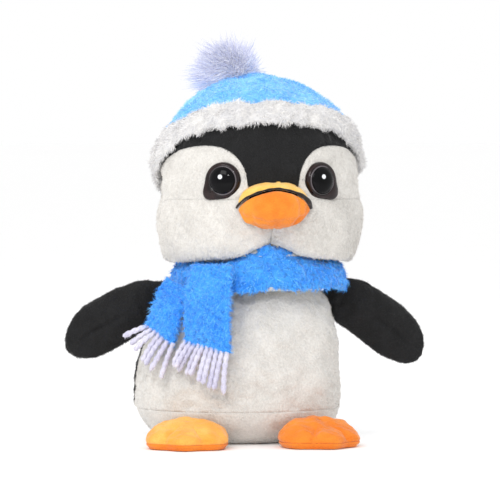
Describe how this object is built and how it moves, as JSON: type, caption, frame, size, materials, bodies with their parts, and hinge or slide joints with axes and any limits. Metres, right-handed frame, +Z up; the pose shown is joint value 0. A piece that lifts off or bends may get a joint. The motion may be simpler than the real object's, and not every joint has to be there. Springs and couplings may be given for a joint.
{
  "type": "plush penguin",
  "caption": "Standing stuffed penguin with a wide head, flippers, flat feet, a pompom hat and a wrapped scarf with two fringed hanging ends.",
  "frame": {"origin": "middle of the flat base that the toy stands on", "axes": "+Z up, face towards -Y, the toy's own left side at +X"},
  "size_m": [0.2442, 0.1567, 0.264],
  "materials": {
    "plush_white": "matte",
    "plush_black": "matte",
    "fleece_sky": "matte",
    "fleece_blue": "matte",
    "plush_band": "matte",
    "pompom_pile": "matte",
    "fringe_yarn": "matte",
    "fabric_orange": "matte",
    "fabric_amber": "matte",
    "trim_dark": "matte",
    "eye_gloss": "gloss",
    "washer_plastic": "satin",
    "stuffing": "matte",
    "pellet_cloth": "matte"
  },
  "bodies": {
    "torso": {"belly_panel": "plush_white", "back_panel": "plush_black", "base_panel": "plush_white", "torso_stuffing": "stuffing", "pellet_bag": "pellet_cloth", "scarf_wrap": "fleece_blue"},
    "neck": {"neck_stuffing": "stuffing"},
    "head": {"forehead_panel": "plush_black", "head_top_panel": "plush_black", "head_back_panel": "plush_black", "eye_patch_right": "plush_white", "eye_patch_left": "plush_white", "cheek_right": "plush_white", "cheek_left": "plush_white", "head_stuffing": "stuffing", "eye_right": "eye_gloss", "eye_left": "eye_gloss", "eye_washer_right": "washer_plastic", "eye_washer_left": "washer_plastic", "beak_upper": "fabric_amber", "beak_lower": "fabric_orange", "mouth_trim": "trim_dark", "beak_stuffing": "stuffing", "hat_crown": "fleece_sky", "hat_band": "plush_band"},
    "pompom_root": {"pompom_tie": "fringe_yarn"},
    "pompom_ball": {"pompom": "pompom_pile"},
    "flipper_right": {"flipper_right_front": "plush_black", "flipper_right_back": "plush_black", "flipper_right_stuffing": "stuffing"},
    "flipper_left": {"flipper_left_front": "plush_black", "flipper_left_back": "plush_black", "flipper_left_stuffing": "stuffing"},
    "foot_right": {"foot_right_upper": "fabric_amber", "foot_right_sole": "fabric_orange", "foot_right_stuffing": "stuffing"},
    "foot_left": {"foot_left_upper": "fabric_orange", "foot_left_sole": "fabric_orange", "foot_left_stuffing": "stuffing"},
    "scarf_end_front": {"scarf_tail_front": "fleece_blue", "scarf_fringe_front": "fringe_yarn"},
    "scarf_end_rear": {"scarf_tail_rear": "fleece_blue", "scarf_fringe_rear": "fringe_yarn"}
  },
  "joints": [
    {"name": "neck_turn", "type": "hinge", "parent": "torso", "child": "neck", "pos_m": [0.014, 0, 0.092], "axis": [0, 0, 1], "range_deg": [-25, 25], "stiffness_Nm_per_rad": 0.6},
    {"name": "head_nod", "type": "hinge", "parent": "neck", "child": "head", "pos_m": [0.014, 0, 0.092], "axis": [1, 0, 0], "range_deg": [-8, 4], "stiffness_Nm_per_rad": 3},
    {"name": "pompom_rock", "type": "hinge", "parent": "head", "child": "pompom_root", "pos_m": [-0.00144, 0.01441, 0.24201], "axis": [1, 0, 0], "range_deg": [-10, 10], "stiffness_Nm_per_rad": 0.05},
    {"name": "pompom_sway", "type": "hinge", "parent": "pompom_root", "child": "pompom_ball", "pos_m": [-0.00144, 0.01441, 0.24201], "axis": [0, 1, 0], "range_deg": [-10, 10], "stiffness_Nm_per_rad": 0.05},
    {"name": "flipper_right_flap", "type": "hinge", "parent": "torso", "child": "flipper_right", "pos_m": [-0.0646, 0, 0.088], "axis": [0, 1, 0], "range_deg": [-8, 60], "stiffness_Nm_per_rad": 0.15},
    {"name": "flipper_left_flap", "type": "hinge", "parent": "torso", "child": "flipper_left", "pos_m": [0.07784, 0, 0.088], "axis": [0, -1, 0], "range_deg": [-15, 60], "stiffness_Nm_per_rad": 0.15},
    {"name": "foot_right_flex", "type": "hinge", "parent": "torso", "child": "foot_right", "pos_m": [-0.038, -0.041, 0.005], "axis": [-0.9613, 0.2756, 0], "range_deg": [0, 25], "stiffness_Nm_per_rad": 0.2},
    {"name": "foot_left_flex", "type": "hinge", "parent": "torso", "child": "foot_left", "pos_m": [0.038, -0.041, 0.005], "axis": [-0.9613, -0.2756, 0], "range_deg": [0, 25], "stiffness_Nm_per_rad": 0.2},
    {"name": "scarf_end_front_lift", "type": "hinge", "parent": "torso", "child": "scarf_end_front", "pos_m": [-0.028, -0.048, 0.107], "axis": [-0.7526, 0.6585, 0], "range_deg": [0, 70], "stiffness_Nm_per_rad": 0.01},
    {"name": "scarf_end_rear_lift", "type": "hinge", "parent": "torso", "child": "scarf_end_rear", "pos_m": [-0.045, -0.0265, 0.1], "axis": [-0.4097, 0.9122, 0], "range_deg": [0, 70], "stiffness_Nm_per_rad": 0.01}
  ]
}
